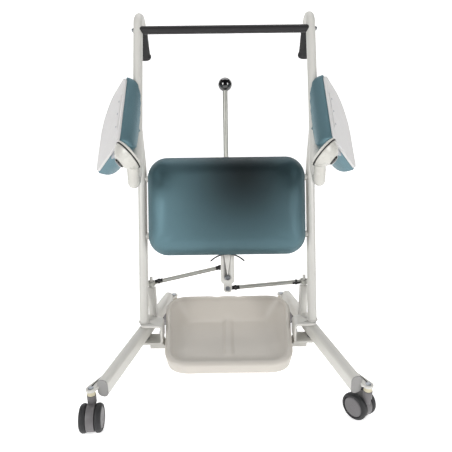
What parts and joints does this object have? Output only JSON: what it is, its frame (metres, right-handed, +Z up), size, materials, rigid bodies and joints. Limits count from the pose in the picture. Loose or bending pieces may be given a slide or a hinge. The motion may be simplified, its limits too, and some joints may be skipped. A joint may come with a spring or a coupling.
{
  "type": "sit to stand lift",
  "caption": "Wheeled standing aid with spreading legs, leaning masts, knee pad, foot tray, crossbar and two swing-in seat halves.",
  "frame": {"origin": "on the floor under the centre of the whole object's box, with the legs spread and the seat halves swung open", "axes": "+Z up, +Y from the patient towards the push grips, +X to the right of a patient who faces the knee pad"},
  "size_m": [0.8518, 0.7848, 1.1229],
  "materials": {
    "frame_paint": "satin powder coat",
    "zinc": "zinc plated",
    "black_rubber": "matt",
    "black_gloss": "polished",
    "teal_vinyl": "soft satin vinyl",
    "board": "sealed plywood",
    "tray_plastic": "fine texture",
    "white_plastic": "fine satin",
    "caster_grey": "satin",
    "tyre": "matt"
  },
  "bodies": {
    "chassis": {"leg_bracket_left": "frame_paint", "leg_bracket_right": "frame_paint", "base_crossbeam": "frame_paint", "leg_pivot_pins": "zinc", "mast_left": "frame_paint", "mast_right": "frame_paint", "upper_tube_left": "frame_paint", "upper_tube_right": "frame_paint", "crossbar_tube": "zinc", "crossbar_sleeve": "black_rubber", "crossbar_bolts": "zinc", "push_grips": "black_rubber", "knee_pad_cushion": "teal_vinyl", "knee_pad_board": "board", "knee_pad_rails": "frame_paint", "lever_bracket": "frame_paint", "detent_quadrant": "zinc", "lever_pivot_bolt": "zinc", "foot_tray": "tray_plastic", "tray_screws": "zinc", "hinge_dome_left": "white_plastic", "hinge_dome_right": "white_plastic", "elbow_covers": "white_plastic", "seam_rings": "black_rubber", "hinge_caps": "black_gloss", "hinge_pins": "zinc"},
    "lever": {"lever_tab": "frame_paint", "lever_rod": "frame_paint", "lever_knob": "black_gloss", "lever_link_bolts": "zinc"},
    "leg_right": {"leg_right": "frame_paint", "link_post_right": "frame_paint", "caster_bars_right": "frame_paint", "caster_stems_right": "zinc"},
    "tie_rod_right": {"tie_rod_right": "zinc"},
    "seat_right": {"hinge_flange_right": "white_plastic", "seat_bracket_right": "zinc", "seat_plate_right": "white_plastic", "seat_cushion_right": "teal_vinyl"},
    "swivel_rear_right": {"caster_hood_rear_right": "caster_grey"},
    "wheel_rear_right": {"caster_tyres_rear_right": "tyre", "caster_hubs_rear_right": "caster_grey"},
    "swivel_front_right": {"caster_hood_front_right": "caster_grey"},
    "wheel_front_right": {"caster_tyres_front_right": "tyre", "caster_hubs_front_right": "caster_grey"},
    "leg_left": {"leg_left": "frame_paint", "link_post_left": "frame_paint", "caster_bars_left": "frame_paint", "caster_stems_left": "zinc"},
    "tie_rod_left": {"tie_rod_left": "zinc"},
    "seat_left": {"hinge_flange_left": "white_plastic", "seat_bracket_left": "zinc", "seat_plate_left": "white_plastic", "seat_cushion_left": "teal_vinyl"},
    "swivel_rear_left": {"caster_hood_rear_left": "caster_grey"},
    "wheel_rear_left": {"caster_tyres_rear_left": "tyre", "caster_hubs_rear_left": "caster_grey"},
    "swivel_front_left": {"caster_hood_front_left": "caster_grey"},
    "wheel_front_left": {"caster_tyres_front_left": "tyre", "caster_hubs_front_left": "caster_grey"}
  },
  "joints": [
    {"name": "leg_right_spread", "type": "hinge", "parent": "chassis", "child": "leg_right", "pos_m": [0.28, -0.01819, 0.115], "axis": [0, 0, 1], "range_deg": [-13.6, 6.2]},
    {"name": "leg_left_spread", "type": "hinge", "parent": "chassis", "child": "leg_left", "pos_m": [-0.28, -0.01819, 0.115], "axis": [0, 0, 1], "range_deg": [-6.2, 13.6]},
    {"name": "lever_swing", "type": "hinge", "parent": "chassis", "child": "lever", "pos_m": [0, 0.04695, 0.27875], "axis": [0, -0.9455, 0.3256], "range_deg": [-12.3, 26.7]},
    {"name": "tie_rod_right_pivot", "type": "hinge", "parent": "lever", "child": "tie_rod_right", "pos_m": [0, 0.04593, 0.23892], "axis": [0, -0.9455, 0.3256], "range_deg": [-26.7, 12.3]},
    {"name": "tie_rod_left_pivot", "type": "hinge", "parent": "lever", "child": "tie_rod_left", "pos_m": [0, 0.07067, 0.31078], "axis": [0, -0.9455, 0.3256], "range_deg": [-26.7, 12.3]},
    {"name": "seat_right_swing", "type": "hinge", "parent": "chassis", "child": "seat_right", "pos_m": [0.289, -0.03419, 0.7135], "axis": [0.7143, -0.4208, -0.5592], "range_deg": [0, 189]},
    {"name": "swivel_rear_right_turn", "type": "hinge", "parent": "leg_right", "child": "swivel_rear_right", "pos_m": [0.3855, -0.32619, 0.095], "axis": [0, 0, 1], "continuous": true},
    {"name": "wheel_rear_right_spin", "type": "hinge", "parent": "swivel_rear_right", "child": "wheel_rear_right", "pos_m": [0.37028, -0.30636, 0.04], "axis": [0.7934, 0.6088, 0], "continuous": true},
    {"name": "swivel_front_right_turn", "type": "hinge", "parent": "leg_right", "child": "swivel_front_right", "pos_m": [0.206, 0.24381, 0.095], "axis": [0, 0, 1], "continuous": true},
    {"name": "wheel_front_right_spin", "type": "hinge", "parent": "swivel_front_right", "child": "wheel_front_right", "pos_m": [0.21774, 0.22174, 0.04], "axis": [-0.8829, -0.4695, 0], "continuous": true},
    {"name": "seat_left_swing", "type": "hinge", "parent": "chassis", "child": "seat_left", "pos_m": [-0.289, -0.03419, 0.7135], "axis": [0.7143, 0.4208, 0.5592], "range_deg": [0, 189]},
    {"name": "swivel_rear_left_turn", "type": "hinge", "parent": "leg_left", "child": "swivel_rear_left", "pos_m": [-0.3855, -0.32619, 0.095], "axis": [0, 0, 1], "continuous": true},
    {"name": "wheel_rear_left_spin", "type": "hinge", "parent": "swivel_rear_left", "child": "wheel_rear_left", "pos_m": [-0.38419, -0.35116, 0.04], "axis": [-0.9986, -0.0523, 0], "continuous": true},
    {"name": "swivel_front_left_turn", "type": "hinge", "parent": "leg_left", "child": "swivel_front_left", "pos_m": [-0.206, 0.24381, 0.095], "axis": [0, 0, 1], "continuous": true},
    {"name": "wheel_front_left_spin", "type": "hinge", "parent": "swivel_front_left", "child": "wheel_front_left", "pos_m": [-0.21774, 0.22174, 0.04], "axis": [-0.8829, 0.4695, 0], "continuous": true}
  ],
  "couplings": [
    {"joint": "leg_left_spread", "follows": "leg_right_spread", "ratio": -1},
    {"joint": "lever_swing", "follows": "leg_right_spread", "ratio": -1.95},
    {"joint": "tie_rod_right_pivot", "follows": "leg_right_spread", "ratio": 1.95},
    {"joint": "tie_rod_left_pivot", "follows": "leg_right_spread", "ratio": 1.95}
  ]
}
